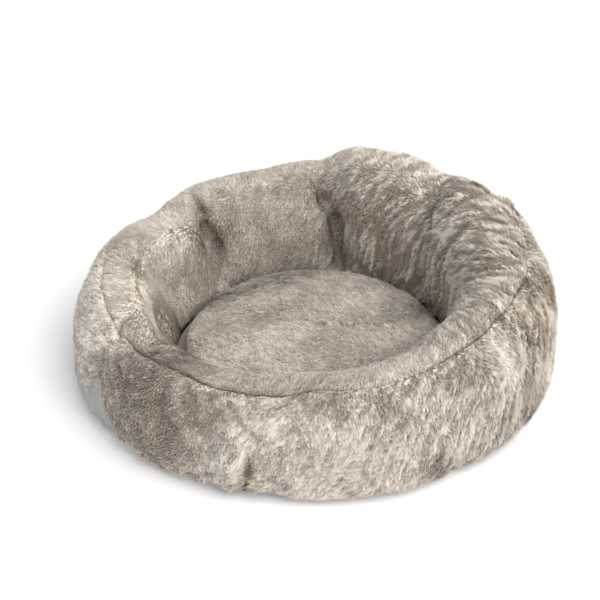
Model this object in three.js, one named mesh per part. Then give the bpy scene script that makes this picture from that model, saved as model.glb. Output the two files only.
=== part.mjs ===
// Round bolster bed for a small dog or a cat: a stuffed plush ring round a sunken well, a loose
// cushion that lifts out of the well, and a flat base with a non-slip underside.
//
// Millimetres, +Z up. The origin is the centre of the underside and -Y is the front. Angles run
// anticlockwise from +X, seen from above. The ring is designed as an even round one, and one
// function then gives every piece of it the lumps and pinches of the stuffed chambers.
import * as THREE from "three";

// Ring: eight stuffed chambers between stitched pinches.
const RING_RADIUS = 311;
const RING_WIDTH = 134;
const RING_HEIGHT = 160;
const SECTION_POWER = 2.4; // 2 is an ellipse, more is squarer
const WELL_FOOT_POWER = 4; // the wall drops straight down to the floor of the well
const OUTER_FOOT_POWER = 5; // the side drops almost straight down to the floor
const CHAMBERS = [
  // where a chamber starts, how tall it stands and how deep the pinch at its start is
  { name: "right_rear", start: 7.5, height: 181, pinch: 0.08 },
  { name: "rear_right", start: 45, height: 186, pinch: 0.13 },
  { name: "rear", start: 82.5, height: 150, pinch: 0.16 },
  { name: "rear_left", start: 135, height: 138, pinch: 0.14 },
  { name: "left", start: 165, height: 131, pinch: 0.09 },
  { name: "front_left", start: 210, height: 138, pinch: 0.08 },
  { name: "front", start: 255, height: 152, pinch: 0.04 },
  { name: "front_right", start: 300, height: 168, pinch: 0.05 },
];
const PINCH_WIDTH = 7; // degrees each side of a pinch

// On the left and in front, where the bed is got into, the wall of the well leans back.
const LEAN = 32;
const LEAN_TURN = 218; // where it leans most
const LEAN_WIDTH = 76; // degrees each side
const LEAN_FOOT = 25; // the heights between which the lean grows
const LEAN_TOP = 75;

// Skins of the ring, by their place on its section: 0 is outermost, 90 the top, 180 innermost.
const CREST_SEAM = 75;
const OUTER_HEM = -45;
const BAND_FOOT = -75;
const INNER_FOOT = 225;
const PLUSH_THICKNESS = 8; // backing cloth and pile
const BAND_THICKNESS = 3;
const FILL_GAP = 3.2; // loose wadding stands this far off its cover

// Base and floor of the well.
const SHEET_RADIUS = 282;
const SHEET_THICKNESS = 2;
const PAD_RADIUS = 184;
const PAD_THICKNESS = 7;
const LINING_RADIUS = 186;
const LINING_THICKNESS = 2;
const SEWN_GAP = 0.4; // between pieces that touch

// Loose cushion.
const CUSHION_RADIUS = 169;
const CUSHION_CROWN = 32; // above its rim seam
const CUSHION_BELLY = 20; // below its rim seam
const CUSHION_TOP_THICKNESS = 7;
const CUSHION_UNDER_THICKNESS = 2;
const CUSHION_GAP = 1;

// Fineness.
const TURN_STEP = 7.5; // degrees round the ring, which every chamber start is a multiple of
const SECTION_STEP = 15; // degrees round the ring's section
const CUSHION_STEPS = 6;

const rad = THREE.MathUtils.degToRad;
const HALF_WIDTH = RING_WIDTH / 2;
const MID_RADIUS = RING_RADIUS - HALF_WIDTH;
const RING_FOOT = SHEET_THICKNESS + SEWN_GAP;
const TURN_SEGMENTS = 360 / TURN_STEP;

function chamberEnd(index) {
  const next = CHAMBERS[(index + 1) % CHAMBERS.length].start;
  return next > CHAMBERS[index].start ? next : next + 360;
}

const CHAMBER_MIDDLES = CHAMBERS.map((chamber, index) => ({
  angle: (chamber.start + chamberEnd(index)) / 2,
  height: chamber.height,
}));

// Height of the ring, easing from the middle of one chamber to the middle of the next.
function heightAt(angle) {
  const count = CHAMBER_MIDDLES.length;
  const turned = THREE.MathUtils.euclideanModulo(angle - CHAMBER_MIDDLES[0].angle, 360);
  for (let index = 0; index < count; index++) {
    const from = CHAMBER_MIDDLES[index];
    const to = CHAMBER_MIDDLES[(index + 1) % count];
    const begin = from.angle - CHAMBER_MIDDLES[0].angle;
    const end = index + 1 < count ? to.angle - CHAMBER_MIDDLES[0].angle : 360;
    if (turned <= end) {
      return THREE.MathUtils.lerp(
        from.height,
        to.height,
        THREE.MathUtils.smoothstep(turned, begin, end),
      );
    }
  }
  return RING_HEIGHT;
}

// How much of its full width and height the ring keeps, which dips at every pinch.
function fullnessAt(angle) {
  let fullness = 1;
  for (const { start, pinch } of CHAMBERS) {
    const away = THREE.MathUtils.euclideanModulo(angle - start + 180, 360) - 180;
    fullness -= pinch * Math.exp(-((away / PINCH_WIDTH) ** 2));
  }
  return fullness;
}

// How much of its half width the wall of the well loses to its lean, at a height.
function leanAt(angle, height) {
  const away = THREE.MathUtils.euclideanModulo(angle - LEAN_TURN + 180, 360) - 180;
  const grown = THREE.MathUtils.smoothstep(height, LEAN_FOOT, LEAN_TOP);
  return (LEAN / HALF_WIDTH) * grown * Math.exp(-((away / LEAN_WIDTH) ** 4));
}

// Takes a point of the even ring to its place on the stuffed one.
function stuff(point) {
  const angle = THREE.MathUtils.radToDeg(Math.atan2(point.y, point.x));
  const radius = Math.hypot(point.x, point.y);
  const fullness = fullnessAt(angle);
  const lean = radius < MID_RADIUS ? leanAt(angle, point.z) : 0;
  const stuffedRadius = MID_RADIUS + (radius - MID_RADIUS) * fullness * (1 - lean);
  const top = heightAt(angle) * (0.5 + fullness / 2);
  const rise = (top - RING_FOOT) / (RING_HEIGHT - RING_FOOT);
  return new THREE.Vector3(
    point.x * (stuffedRadius / radius),
    point.y * (stuffedRadius / radius),
    point.z > RING_FOOT ? RING_FOOT + (point.z - RING_FOOT) * rise : point.z,
  );
}

function moveVertices(geometry, place) {
  const position = geometry.getAttribute("position");
  const point = new THREE.Vector3();
  for (let index = 0; index < position.count; index++) {
    const placed = place(point.fromBufferAttribute(position, index));
    position.setXYZ(index, placed.x, placed.y, placed.z);
  }
  geometry.computeVertexNormals();
  return geometry;
}

// A point of the even ring's section, x outwards and y up, a given depth inside its skin.
function sectionPoint(degrees, depth) {
  const turn = THREE.MathUtils.euclideanModulo(degrees, 360);
  const footPower = turn < 270 ? WELL_FOOT_POWER : OUTER_FOOT_POWER;
  const power = turn > 180 ? footPower : SECTION_POWER;
  const bend = (value) => Math.sign(value) * Math.abs(value) ** (2 / power);
  const top = RING_HEIGHT - depth;
  const foot = RING_FOOT + depth / 8;
  const across = bend(Math.cos(rad(degrees))) * (HALF_WIDTH - depth);
  const up = bend(Math.sin(rad(degrees))) * (top - foot) / 2;
  return new THREE.Vector2(MID_RADIUS + across, (top + foot) / 2 + up);
}

function arcOfSection(from, to, depth) {
  const steps = Math.round(Math.abs(to - from) / SECTION_STEP);
  const points = [];
  for (let step = 0; step <= steps; step++) {
    points.push(sectionPoint(THREE.MathUtils.lerp(from, to, step / steps), depth));
  }
  return points;
}

// A closed profile turned about the upright axis.
function turned(profile) {
  const geometry = new THREE.LatheGeometry(profile, TURN_SEGMENTS);
  return geometry.rotateX(Math.PI / 2);
}

// A skin of the ring from one place on its section to another.
function ringSkin(from, to, thickness) {
  const outside = arcOfSection(from, to, 0);
  const inside = arcOfSection(to, from, thickness);
  const profile = [...outside, ...inside, outside[0].clone()];
  return moveVertices(turned(profile), stuff);
}

// The wadding of one chamber: a capped cylinder bent round the ring, narrower at its ends.
function chamberFill(chamber, end) {
  const steps = Math.round((end - chamber.start) / TURN_STEP);
  const around = 360 / SECTION_STEP;
  const depth = PLUSH_THICKNESS + FILL_GAP;
  const middle = sectionPoint(90, RING_HEIGHT / 2).y;
  const endInset = 0.6;
  const wad = new THREE.CylinderGeometry(1, 1, steps, around, steps);
  return moveVertices(wad, (point) => {
    const step = point.y + steps / 2;
    const nearEnd = Math.min(step, steps - step);
    const inset = nearEnd < 0.5 ? endInset * (step < 1 ? 1 : -1) : 0;
    const angle = rad(chamber.start + step * TURN_STEP + inset);
    const taper = nearEnd < 0.5 ? 0.8 : 1;
    const round = Math.hypot(point.x, point.z);
    const turn = THREE.MathUtils.radToDeg(Math.atan2(point.z, point.x));
    const place = sectionPoint(THREE.MathUtils.euclideanModulo(turn, 360), depth);
    const keep = round * taper;
    const radius = MID_RADIUS + (place.x - MID_RADIUS) * keep;
    const height = middle + (place.y - middle) * keep;
    return stuff(new THREE.Vector3(radius * Math.cos(angle), radius * Math.sin(angle), height));
  });
}

// A round flat sheet whose underside is at a given height.
function disc(radius, thickness, height) {
  const sheet = new THREE.CylinderGeometry(radius, radius, thickness, TURN_SEGMENTS);
  return sheet.rotateX(Math.PI / 2).translate(0, 0, height + thickness / 2);
}

// Half of the cushion's section from the axis to the rim: a flat middle and a rounded shoulder.
function cushionArc(rise, shrink) {
  const points = [];
  for (let step = 0; step <= CUSHION_STEPS; step++) {
    const turn = (Math.PI / 2) * (step / CUSHION_STEPS);
    const radius = (CUSHION_RADIUS - shrink) * Math.sin(turn) ** 0.8;
    const lift = (Math.abs(rise) - shrink) * Math.cos(turn) ** 0.7;
    points.push(new THREE.Vector2(radius, Math.sign(rise) * Math.max(lift, 0)));
  }
  points[0].x = 0;
  points[CUSHION_STEPS].y = 0;
  return points;
}

// One face of the cushion's cover, standing off the rim seam by half a sewn gap.
function cushionSkin(rise, thickness) {
  const outside = cushionArc(rise, 0);
  const inside = cushionArc(rise, thickness).reverse();
  const profile = [...outside, ...inside];
  if (rise > 0) profile.reverse();
  const offset = (Math.sign(rise) * SEWN_GAP) / 2;
  return turned(profile).translate(0, 0, offset);
}

function cushionFill() {
  const above = cushionArc(CUSHION_CROWN, CUSHION_TOP_THICKNESS + CUSHION_GAP);
  const below = cushionArc(-CUSHION_BELLY, CUSHION_TOP_THICKNESS + CUSHION_GAP);
  const deepen = (CUSHION_BELLY - CUSHION_UNDER_THICKNESS - CUSHION_GAP)
    / (CUSHION_BELLY - CUSHION_TOP_THICKNESS - CUSHION_GAP);
  const lower = below.map((point) => new THREE.Vector2(point.x, point.y * deepen));
  return turned([...lower, ...above.reverse().slice(1)]);
}

function cloth(name, color) {
  return new THREE.MeshStandardMaterial({ name, color, roughness: 0.95, metalness: 0 });
}

const MOTTLED_PLUSH = cloth("mottled long plush", 0xb3a391);
const PLAIN_PLUSH = cloth("brushed short plush", 0xc9bba8);
const GREY_CANVAS = cloth("grey woven canvas", 0x9c9c9a);
const GRIP_CLOTH = cloth("charcoal non-slip cloth", 0x3a3a38);
const LINING_CLOTH = cloth("beige lining cloth", 0xa2988a);
const FOAM = cloth("soft foam", 0xe9e4d4);
const FIBRE = cloth("white fibre wadding", 0xf3f1ec);

function piece(name, geometry, material) {
  const mesh = new THREE.Mesh(geometry, material);
  mesh.name = name;
  return mesh;
}

function makeRing() {
  const ring = new THREE.Group();
  const outer = ringSkin(OUTER_HEM, CREST_SEAM - SEWN_GAP, PLUSH_THICKNESS);
  const inner = ringSkin(CREST_SEAM + SEWN_GAP, INNER_FOOT, PLUSH_THICKNESS);
  ring.add(piece("outer_plush_panel", outer, MOTTLED_PLUSH));
  ring.add(piece("inner_plush_panel", inner, PLAIN_PLUSH));
  CHAMBERS.forEach((chamber, index) => {
    const fill = chamberFill(chamber, chamberEnd(index));
    ring.add(piece("bolster_fill_" + chamber.name, fill, FIBRE));
  });
  return ring;
}

function makeBase() {
  const base = new THREE.Group();
  const padFoot = RING_FOOT;
  const liningFoot = padFoot + PAD_THICKNESS + SEWN_GAP;
  const band = ringSkin(BAND_FOOT, OUTER_HEM - SEWN_GAP, BAND_THICKNESS);
  base.add(piece("base_sheet", disc(SHEET_RADIUS, SHEET_THICKNESS, 0), GRIP_CLOTH));
  base.add(piece("base_band", band, GREY_CANVAS));
  base.add(piece("base_pad", disc(PAD_RADIUS, PAD_THICKNESS, padFoot), FOAM));
  base.add(piece("well_lining", disc(LINING_RADIUS, LINING_THICKNESS, liningFoot), LINING_CLOTH));
  return base;
}

function makeCushion() {
  const cushion = new THREE.Group();
  const floor = RING_FOOT + PAD_THICKNESS + SEWN_GAP + LINING_THICKNESS;
  cushion.position.z = floor + SEWN_GAP * 1.5 + CUSHION_BELLY;
  const top = cushionSkin(CUSHION_CROWN, CUSHION_TOP_THICKNESS);
  const underside = cushionSkin(-CUSHION_BELLY, CUSHION_UNDER_THICKNESS);
  cushion.add(piece("cushion_top_panel", top, PLAIN_PLUSH));
  cushion.add(piece("cushion_underside", underside, GREY_CANVAS));
  cushion.add(piece("cushion_fill", cushionFill(), FIBRE));
  return cushion;
}

const bed = new THREE.Group();
bed.add(makeRing(), makeBase(), makeCushion());

export default bed;
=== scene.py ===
"""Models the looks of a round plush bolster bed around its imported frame.

The frame gives the bodies, the sizes and the place of every piece. Everything here is in metres,
+Z up, with the origin at the centre of the bed's underside and -Y at its front. Angles are in
degrees: "turn" runs anticlockwise round the ring from +X, and "around" runs round the ring's
section, 0 outermost, 90 on top, 180 innermost.
"""
import math

import bmesh
import bpy
import numpy as np
from bpy.props import FloatProperty, FloatVectorProperty, IntProperty, PointerProperty
from mathutils import Matrix, Vector


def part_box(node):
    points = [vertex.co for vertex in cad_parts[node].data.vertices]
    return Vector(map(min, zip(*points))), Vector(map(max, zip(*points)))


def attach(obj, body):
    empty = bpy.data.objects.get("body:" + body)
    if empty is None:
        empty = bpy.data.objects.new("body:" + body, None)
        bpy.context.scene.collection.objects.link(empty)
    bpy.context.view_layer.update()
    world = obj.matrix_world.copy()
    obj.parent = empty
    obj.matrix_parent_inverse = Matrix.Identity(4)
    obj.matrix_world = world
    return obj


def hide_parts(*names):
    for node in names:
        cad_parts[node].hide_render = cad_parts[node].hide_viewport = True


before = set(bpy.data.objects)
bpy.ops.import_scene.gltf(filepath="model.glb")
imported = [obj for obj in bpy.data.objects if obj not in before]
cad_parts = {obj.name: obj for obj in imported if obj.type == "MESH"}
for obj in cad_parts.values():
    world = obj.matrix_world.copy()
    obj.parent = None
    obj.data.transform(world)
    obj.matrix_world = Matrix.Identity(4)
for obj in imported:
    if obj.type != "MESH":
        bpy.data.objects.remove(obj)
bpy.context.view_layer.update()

bl_info = {
    "name": "Plush bolster bed",
    "version": (1, 0, 0),
    "blender": (4, 5, 0),
    "location": "View3D > Sidebar > Bolster bed",
    "description": "Models a round plush bolster bed around its packed frame",
    "category": "Add Mesh",
}

MM = 0.001


# The ring's stuffed chambers: where each starts, how tall it stands and how deep the pinch at its
# start pulls the ring in, on the well side and on the outside.
CHAMBERS = (
    ("right_rear", 7.5, 185 * MM, 9 * MM, 3 * MM),
    ("rear_right", 45.0, 186 * MM, 15 * MM, 7 * MM),
    ("rear", 82.5, 150 * MM, 20 * MM, 8 * MM),
    ("rear_left", 135.0, 138 * MM, 18 * MM, 7 * MM),
    ("left", 165.0, 131 * MM, 10 * MM, 3 * MM),
    ("front_left", 210.0, 138 * MM, 7 * MM, 5 * MM),
    ("front", 255.0, 152 * MM, 4 * MM, 3 * MM),
    ("front_right", 300.0, 168 * MM, 4 * MM, 4 * MM),
)
PINCH_WIDTH = 6.0
# The pinches slant, further round at the crest than at the foot of the wall.
PINCH_SLANT = 5.0
# 1 eases all the way from one chamber's middle to the next; more keeps the change to the pinch.
CHAMBER_STEEPNESS = 1.5

# On the left and in front the wall of the well leans back: how far, where most, over how many
# degrees each side, and between which heights the lean grows.
LEAN = 32 * MM
LEAN_TURN = 218.0
LEAN_WIDTH = 76.0
LEAN_FOOT = 25 * MM
LEAN_TOP = 75 * MM

# The outside is fuller over the stretch that is centred here.
FULLER = (190.0, 42.0)
FULLER_RISE = 3 * MM

# How square the ring's section is, in all, low in the well and low outside: 2 would be round.
SECTION_POWER = 2.4
WELL_FOOT_POWER = 4.0
OUTER_FOOT_POWER = 5.0
# The section starts this much above the ring's foot.
FOOT_ROOM = 0.5 * MM

# The section's rows: places around the section, and how many rows lie between them.
BAND_FOOT = -76.0
HEM = -50.0
CREST_SEAM = 69.0
INNER_FOOT = 225.0
# Where the crest seam leaves its even place: turn, degrees each side, degrees towards the well.
# Behind, it slips down the outside; on the right in front it climbs a little.
CREST_SLIPS = ((95.0, 76.0, -30.0), (322.0, 30.0, 7.0))
# How far sewing and stuffing make the crest seam wander, and how often round the ring.
CREST_WANDER = 0.6
WANDER_WAVES = (11, 19, 31)
# Where the long pile hides the crest seam, turn and degrees each side, and how much of it.
SEAM_HIDDEN = ((282.0, 19.0), (10.0, 26.0))
SEAM_HIDING = 0.75
# How much closer the rows lie at a seam than halfway between two seams: 0 even, 1 touching.
ROW_GATHER = 0.6
BAND_ROWS = 8
OUTER_ROWS = 32
INNER_ROWS = 36
FOOT_ROWS = 11
SECTION_ROWS = BAND_ROWS + OUTER_ROWS + INNER_ROWS + FOOT_ROWS
HEM_ROW = BAND_ROWS
CREST_ROW = BAND_ROWS + OUTER_ROWS
FOOT_ROW = CREST_ROW + INNER_ROWS

# The hem rides up on the left, where the side band shows and stands a little proud, and a little
# beside the end seam, where the base cloth shows: turn, degrees each side, degrees of rise.
HEM_RISES = ((198.5, 15.5, 49.0), (249.0, 5.0, 20.0), (213.0, 6.0, 14.0))
BAND_PROUD = 5 * MM

# Where the outer strip's two ends are sewn together. The cover's grid is drawn towards it.
END_SEAM_TURN = 254.0
END_SEAM_DRAW = 0.62
END_SEAM_REACH = 8.0

# Creases of the cover: from (turn, around) to (turn, around), half width and depth. A negative
# depth is a ridge.
CREASES = (
    ((208, 62), (200, 80), 5 * MM, 7 * MM),
    ((208, 62), (207, 46), 5 * MM, 6 * MM),
    ((208, 62), (216, 70), 4 * MM, 4 * MM),
    ((131, 78), (133, 122), 6 * MM, 10 * MM),
    ((133, 122), (130, 168), 8 * MM, 13 * MM),
    ((134, 92), (130, 106), 4.5 * MM, 11 * MM),
    ((130, 168), (133, 205), 7 * MM, 9 * MM),
    ((123, 95), (123, 150), 10 * MM, -5 * MM),
    ((140, 92), (139, 140), 9 * MM, -4 * MM),
    ((160, 84), (168, 100), 5 * MM, 9 * MM),
    ((168, 100), (183, 118), 6 * MM, 7 * MM),
    ((176, 96), (190, 108), 10 * MM, -3 * MM),
    ((150, 96), (156, 128), 9 * MM, -3 * MM),
    ((90, 96), (86, 132), 9 * MM, 12 * MM),
    ((86, 132), (81, 172), 9 * MM, 15 * MM),
    ((81, 172), (79, 210), 9 * MM, 13 * MM),
    ((46, 90), (42, 112), 9 * MM, 8 * MM),
    ((42, 112), (37, 165), 10 * MM, 10 * MM),
    ((31, 58), (32, 112), 6 * MM, 8 * MM),
    ((24, 60), (26, 128), 7 * MM, -8 * MM),
    ((18, 64), (20, 124), 5 * MM, 7 * MM),
    ((20, 124), (24, 175), 9 * MM, 8 * MM),
    ((352, 84), (356, 145), 6 * MM, 9 * MM),
    ((356, 145), (3, 190), 10 * MM, 10 * MM),
    ((359, 88), (3, 135), 7 * MM, -6 * MM),
    ((345, 88), (346, 130), 8 * MM, -4 * MM),
    ((301, 18), (302, 4), 5 * MM, 6 * MM),
    ((300, 4), (291, -18), 7 * MM, -4 * MM),
    ((303, 2), (294, -22), 6 * MM, 4 * MM),
    ((254.6, 2), (253.4, -60), 2.8 * MM, 10 * MM),
    ((250.5, -6), (249.5, -50), 9 * MM, -5 * MM),
    ((255, 1), (262, -1), 3.5 * MM, 7 * MM),
    ((262, -1), (270, 1), 4 * MM, 4 * MM),
    ((260, 61), (262, 57), 4 * MM, 5 * MM),
    ((263, 24), (264, 19), 4 * MM, 4 * MM),
    ((247, 36), (248, 31), 4 * MM, 4 * MM),
    ((318, 70), (322, 40), 8 * MM, 3 * MM),
    ((336, 60), (331, 20), 10 * MM, 4 * MM),
)
# Soft upright ripples low on the outside, front left.
RIPPLE_TURNS = (206, 212, 218, 225, 231, 237, 243, 249)
RIPPLE_FROM = 58
RIPPLE_TO = 4
# How much further round a ripple is at its foot, and how far their ends are staggered.
RIPPLE_SLANT = 3.5
RIPPLE_STAGGER = 9
RIPPLE_WIDTH = 7 * MM
RIPPLE_DEPTH = 6.5 * MM
# The stuffing is lumpy: by how much, most over the stretch that is centred here, and how far apart.
LUMPS = 0.7 * MM
LUMPIEST = (226.0, 36.0)
LUMPIEST_RISE = 3.4 * MM
LUMP_SPACING = 23 * MM
# The hollows between lumps are creased by their share of this depth, up to a limit: their pile
# is shortened and darkened with painted shade.
LUMP_HOLLOW = 7 * MM
LUMP_CREASED = 0.6

SEAM_WIDTH = 1.8 * MM
SEAM_DEPTH = 3.2 * MM
# A crease this deep shortens the pile and darkens it with painted shade the most; ripples and the
# seam do it less.
FULLY_CREASED = 10 * MM
RIPPLE_CREASED = 0.55
SEAM_CREASED = 0.7
# How long a degree is over the cover, round the ring and round its section.
TURN_DEGREE = math.radians(270 * MM)
AROUND_DEGREE = math.radians(72 * MM)

# Patches of the plush's tone: (turn, around), radius and change of tone. Low at the front left
# they are the plush's own dark mottling with painted shade over it; the others are painted shade,
# in creases, along the end seam and low in the well, and painted light, on the crest and on the
# outside behind and on the right.
PAINTED_LIGHT_AND_TONE_PATCHES = (
    ((224, 20), 80 * MM, -0.5),
    ((226, 38), 26 * MM, -0.2),
    ((234, 12), 24 * MM, -0.15),
    ((246, 28), 12 * MM, -0.25),
    ((186, 90), 75 * MM, 0.5),
    ((212, 98), 45 * MM, 0.25),
    ((152, 84), 60 * MM, 0.42),
    ((132, 99), 8 * MM, -0.9),
    ((195, 165), 40 * MM, 0.2),
    ((131, 140), 13 * MM, -0.6),
    ((132, 116), 9 * MM, -0.5),
    ((166, 97), 6 * MM, -0.5),
    ((175, 108), 6 * MM, -0.4),
    ((120, 50), 60 * MM, 0.3),
    ((70, 50), 70 * MM, 0.3),
    ((345, 25), 60 * MM, 0.15),
    ((60, 168), 65 * MM, -0.3),
    ((40, 105), 40 * MM, -0.15),
    ((351, 112), 45 * MM, -0.35),
    ((16, 100), 35 * MM, -0.15),
    ((286, 48), 24 * MM, -0.25),
    ((309, 48), 26 * MM, -0.25),
    ((298, -22), 16 * MM, -0.35),
    ((272, 66), 30 * MM, -0.15),
    ((262, 110), 70 * MM, -0.1),
    ((325, 20), 60 * MM, 0.12),
    ((282, 5), 60 * MM, 0.08),
    ((150, 132), 45 * MM, 0.25),
    ((185, 135), 45 * MM, 0.2),
    ((254.4, -8), 5 * MM, -0.8),
    ((254.2, -22), 5 * MM, -0.8),
    ((253.8, -36), 6 * MM, -0.8),
)

# The pile is shorter, as if rubbed, over the stretch that is centred here.
RUBBED = (222.0, 34.0)

SEED = 11


def linear(hex_code):
    """The linear colour of an sRGB hex value such as "B3A391"."""
    parts = [int(hex_code[i:i + 2], 16) / 255 for i in (0, 2, 4)]
    return tuple(c / 12.92 if c <= 0.04045 else ((c + 0.055) / 1.055) ** 2.4 for c in parts)


def length_property(name, description, default):
    return FloatProperty(
        name=name, description=description, default=default, min=0.0, subtype="DISTANCE", unit="LENGTH"
    )


def colour_property(name, description, hex_code):
    return FloatVectorProperty(
        name=name, description=description, default=linear(hex_code), size=3, min=0.0, max=1.0,
        subtype="COLOR",
    )


class BolsterBedSizes(bpy.types.PropertyGroup):
    """Sizes of the bed that its maker would change."""

    ring_radius: length_property("Ring radius", "Outside of the ring, over the pile", 311 * MM)
    ring_width: length_property("Ring width", "Width of the stuffed ring", 134 * MM)
    ring_foot: length_property("Ring foot", "Height of the ring's underside", 2.4 * MM)
    short_depth: length_property("Short pile depth", "Height of the brushed pile", 4.5 * MM)
    tuft_gap: length_property("Tuft gap", "Smallest distance between tufts of long pile", 2.7 * MM)
    short_gap: length_property("Short tuft gap", "The same for the brushed pile", 2.5 * MM)
    ring_steps: IntProperty(name="Ring steps", description="Divisions round the ring", default=320)
    cloth: length_property("Cloth thickness", "Thickness of the plush's knitted backing", 1.6 * MM)


class BolsterBedColours(bpy.types.PropertyGroup):
    """Colours of the bed's cloths."""

    root: colour_property("Pile root", "Long pile at its root", "685B4F")
    # The dark and light tips are the ends of the tone, which holds the plush's own mottling and also painted
    # shade and painted light.
    tip_dark: colour_property("Dark tips", "Tips in the darker patches", "AB9F8F")
    tip_light: colour_property("Light tips", "Tips in the lighter patches", "F9F0E4")
    short_root: colour_property("Brushed pile root", "Brushed pile at its root", "5F5347")
    # The brushed pile's dark and light are the ends of its tone too: its own mottling, with painted shade in
    # creases and low in the well and painted light on the crest.
    short_dark: colour_property("Brushed pile, dark", "Brushed pile where it lies flat", "AEA191")
    short_light: colour_property("Brushed pile, light", "Brushed pile where it stands", "FAF1E5")
    canvas: colour_property("Canvas", "Woven side band", "A8A7A5")
    grip: colour_property("Grip cloth", "Non-slip underside", "3B3B3A")
    lining: colour_property("Lining", "Cloth in the floor of the well", "A79C8C")
    fibre: colour_property("Wadding", "Fibre wadding", "F1EFEA")
    foam: colour_property("Foam", "Soft foam pad", "E6DFC8")


# Shape of the ring.


def smoothstep(x):
    x = np.clip(x, 0.0, 1.0)
    return x * x * (3.0 - 2.0 * x)


def ease(value, start, end):
    """0 up to a start and 1 from an end on, smooth between. The end may be the lower one."""
    return smoothstep((value - start) / (end - start))


def turned_away(turn, from_turn):
    """Signed degrees from one turn to another, the short way round."""
    return (turn - from_turn + 180.0) % 360.0 - 180.0


def about(turn, middle, width, power):
    """1 at a turn, falling to nothing past so many degrees each side; more power, more suddenly."""
    return np.exp(-np.abs(turned_away(turn, middle) / width) ** power)


def chamber_middles():
    """The turn of each chamber's middle, and the height of the ring there."""
    middles = []
    for index, chamber in enumerate(CHAMBERS):
        end = CHAMBERS[(index + 1) % len(CHAMBERS)][1]
        end += 360.0 if end < chamber[1] else 0.0
        middles.append(((chamber[1] + end) / 2.0, chamber[2]))
    return middles


def ring_height(turn):
    """Height of the ring, easing from the middle of one chamber to the middle of the next."""
    middles = chamber_middles()
    first = middles[0][0]
    turned = (turn - first) % 360.0
    height = np.full_like(turned, middles[0][1])
    for index, (angle, value) in enumerate(middles):
        begin = angle - first
        following = middles[(index + 1) % len(middles)]
        end = following[0] - first if index + 1 < len(middles) else 360.0
        inside = (turned >= begin) & (turned <= end)
        share = (turned[inside] - begin) / (end - begin)
        share = smoothstep((share - 0.5) * CHAMBER_STEEPNESS + 0.5)
        height[inside] = value + (following[1] - value) * share
    return height


def slanting(turn, around):
    """A turn, moved back by as much as the pinches have slanted by that place on the section."""
    return turn - PINCH_SLANT * np.cos(np.radians(np.clip(around, 45.0, 225.0) - 45.0))


def pinch_depth(turn, around):
    """How far the pinches between chambers pull the cover towards the middle of the section."""
    well_side = ease(around, 50.0, 110.0) * ease(around, INNER_FOOT, 190.0)
    depth = np.zeros_like(turn)
    slanted = slanting(turn, around)
    for _name, start, _height, inside, outside in CHAMBERS:
        near = np.exp(-(turned_away(slanted, start) / PINCH_WIDTH) ** 2)
        depth += near * (outside + (inside - outside) * well_side)
    return depth


def ring_points(turn, around, depth, size):
    """Places on the stuffed ring, a depth inside its skin: arrays of degrees to an array of points."""
    half = size.ring_width / 2.0
    middle = size.ring_radius - half
    low_inside = (around > 180.0) & (around < 270.0)
    low_outside = (around < 0.0) | (around > 270.0)
    power = np.select([low_inside, low_outside], [WELL_FOOT_POWER, OUTER_FOOT_POWER], SECTION_POWER)
    sine = np.sin(np.radians(around))
    cosine = np.cos(np.radians(around))
    across = np.sign(cosine) * np.abs(cosine) ** (2.0 / power)
    up = np.sign(sine) * np.abs(sine) ** (2.0 / power)
    top = ring_height(slanting(turn, around))
    foot = size.ring_foot + FOOT_ROOM
    rise = (top - foot) / 2.0
    pinch = pinch_depth(turn, around) + depth
    height = foot + rise * (1.0 + up) - pinch * np.clip(up, 0.0, 1.0)
    lean = LEAN * about(turn, LEAN_TURN, LEAN_WIDTH, 4)
    lean *= ease(height, LEAN_FOOT, LEAN_TOP) * (across < 0)
    radius = middle + across * (half - pinch - lean)
    return np.stack(
        [radius * np.cos(np.radians(turn)), radius * np.sin(np.radians(turn)), height], axis=1
    )


def hem_at(turn):
    """Where the hem of the pile lies around the section."""
    return HEM + sum(rise * about(turn, middle, width, 6) for middle, width, rise in HEM_RISES)


def crest_at(turn):
    """Where the crest seam lies around the section."""
    even = CREST_SEAM + sum(slip * about(turn, middle, width, 6) for middle, width, slip in CREST_SLIPS)
    wander = sum(np.sin(np.radians(turn * waves + waves)) for waves in WANDER_WAVES)
    return even + CREST_WANDER * wander


# How far the cover lies inside the ring's outline: everywhere, more in the well, less low outside.
COVER_INSET = 1.5 * MM
WELL_INSET = 5.5 * MM
LOW_RISE = 3 * MM


def inset_at(turn, around):
    """How far the cover lies inside the ring's outline: a little outside and on top, more in the well."""
    in_well = ease(around, 85.0, 145.0) * ease(around, 235.0, 195.0)
    low = ease(around, 20.0, -30.0)
    middle, width, _rise = HEM_RISES[0]
    proud = about(turn, middle, width, 4) * smoothstep((hem_at(turn) + 1.0 - around) / 4.0)
    fuller = FULLER_RISE * about(turn, *FULLER, 4) * ease(around, 95.0, 65.0)
    return COVER_INSET + WELL_INSET * in_well - LOW_RISE * low - BAND_PROUD * proud - fuller


def drawn_to_end_seam(turn):
    """Evenly spaced turns, drawn closer together about the end seam."""
    away = turned_away(turn, END_SEAM_TURN)
    return (END_SEAM_TURN + away * (1.0 - END_SEAM_DRAW * np.exp(-(away / END_SEAM_REACH) ** 2))) % 360.0


def gathered(share):
    """Evenly spaced shares of the way between two seams, drawn towards both."""
    return share - ROW_GATHER * np.sin(math.tau * share) / math.tau


def around_of_row(row, turn):
    """Where a row of the cover's grid lies around the section, so that hems and seams are rows."""
    hem = hem_at(turn)
    crest = crest_at(turn)
    band = BAND_FOOT + (hem - BAND_FOOT) * row / HEM_ROW
    outer = hem + (crest - hem) * gathered((row - HEM_ROW) / OUTER_ROWS)
    inner = crest + (INNER_FOOT - crest) * gathered((row - CREST_ROW) / INNER_ROWS)
    foot = INNER_FOOT + (360.0 + BAND_FOOT - INNER_FOOT) * (row - FOOT_ROW) / FOOT_ROWS
    return np.select(
        [row <= HEM_ROW, row <= CREST_ROW, row <= FOOT_ROW], [band, outer, inner], foot
    )


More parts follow.
